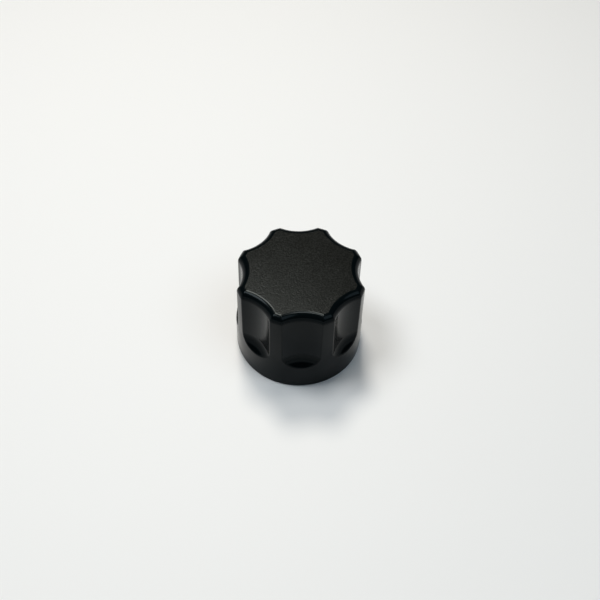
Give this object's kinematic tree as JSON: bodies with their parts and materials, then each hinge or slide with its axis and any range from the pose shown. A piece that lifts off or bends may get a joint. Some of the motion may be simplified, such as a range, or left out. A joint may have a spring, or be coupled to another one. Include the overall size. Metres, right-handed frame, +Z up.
{
  "type": "fluted control knob",
  "caption": "Round black push-on control knob, moulded in one piece, with concave grip flutes above a plain skirt, a flat grained top with a rounded rim, and a shaft hub underneath.",
  "frame": {"origin": "centre of the base, on the knob's axis, in the plane it stands on", "axes": "+Z up along the shaft axis; one flute faces -Y"},
  "size_m": [0.025, 0.025, 0.0196],
  "materials": {
    "black_plastic": "moulded black plastic, satin sides and a finely grained top"
  },
  "bodies": {
    "root": {"knob_body": "black_plastic"}
  },
  "joints": []
}
